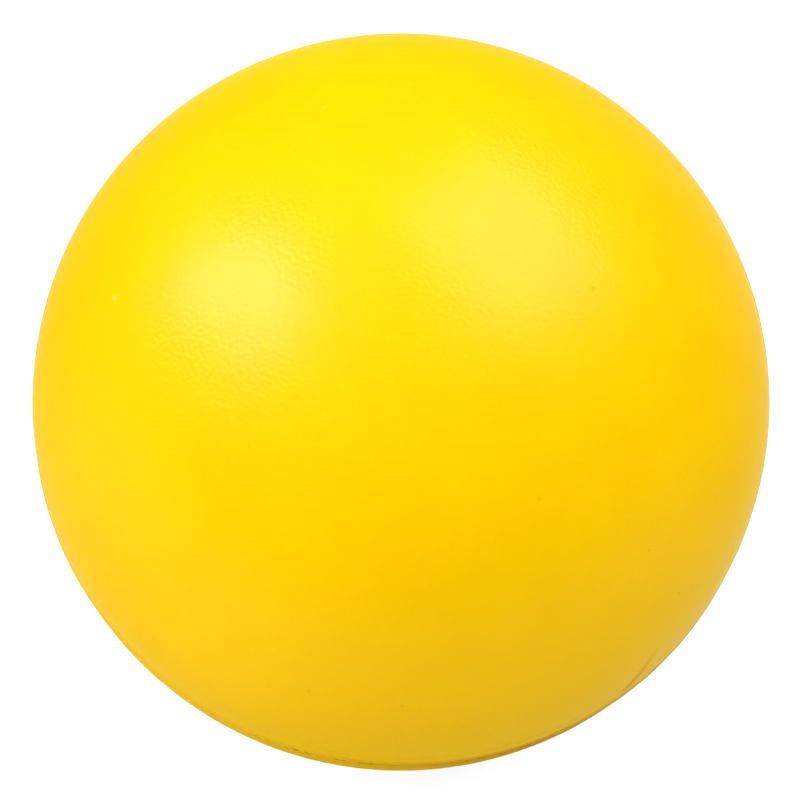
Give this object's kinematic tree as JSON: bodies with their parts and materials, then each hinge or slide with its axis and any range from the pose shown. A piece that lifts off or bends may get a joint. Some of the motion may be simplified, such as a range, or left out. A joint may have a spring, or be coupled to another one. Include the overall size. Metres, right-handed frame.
{
  "type": "stress ball",
  "caption": "Palm-sized moulded foam ball with a painted skin and a fine moulding line round its middle, which flattens when squeezed and springs back.",
  "frame": {"origin": "centre of the ball, on the parting plane of its mould", "axes": "+Z along the mould's axis, away from the flattened patch that the ball rests on; the parting plane is Z = 0, and X and Y are any two square directions in it"},
  "size_m": [0.0704, 0.0704, 0.0698],
  "materials": {
    "skin_paint": "satin",
    "seam_paint": "satin",
    "open_cell_foam": "matte"
  },
  "bodies": {
    "lower_half": {"lower_skin": "skin_paint"},
    "foam_middle": {"foam_core": "open_cell_foam", "seam_bead": "seam_paint"},
    "upper_half": {"upper_skin": "skin_paint"}
  },
  "joints": [
    {"name": "squeeze", "type": "slide", "parent": "lower_half", "child": "upper_half", "axis": [0, 0, -1], "range_m": [0, 0.028], "stiffness_N_per_m": 2000, "deforming": ["upper_skin", "lower_skin", "foam_core", "seam_bead"]},
    {"name": "core_follow", "type": "slide", "parent": "lower_half", "child": "foam_middle", "axis": [0, 0, -1], "range_m": [0, 0.014]}
  ],
  "couplings": [
    {"joint": "core_follow", "follows": "squeeze", "ratio": 0.5}
  ]
}
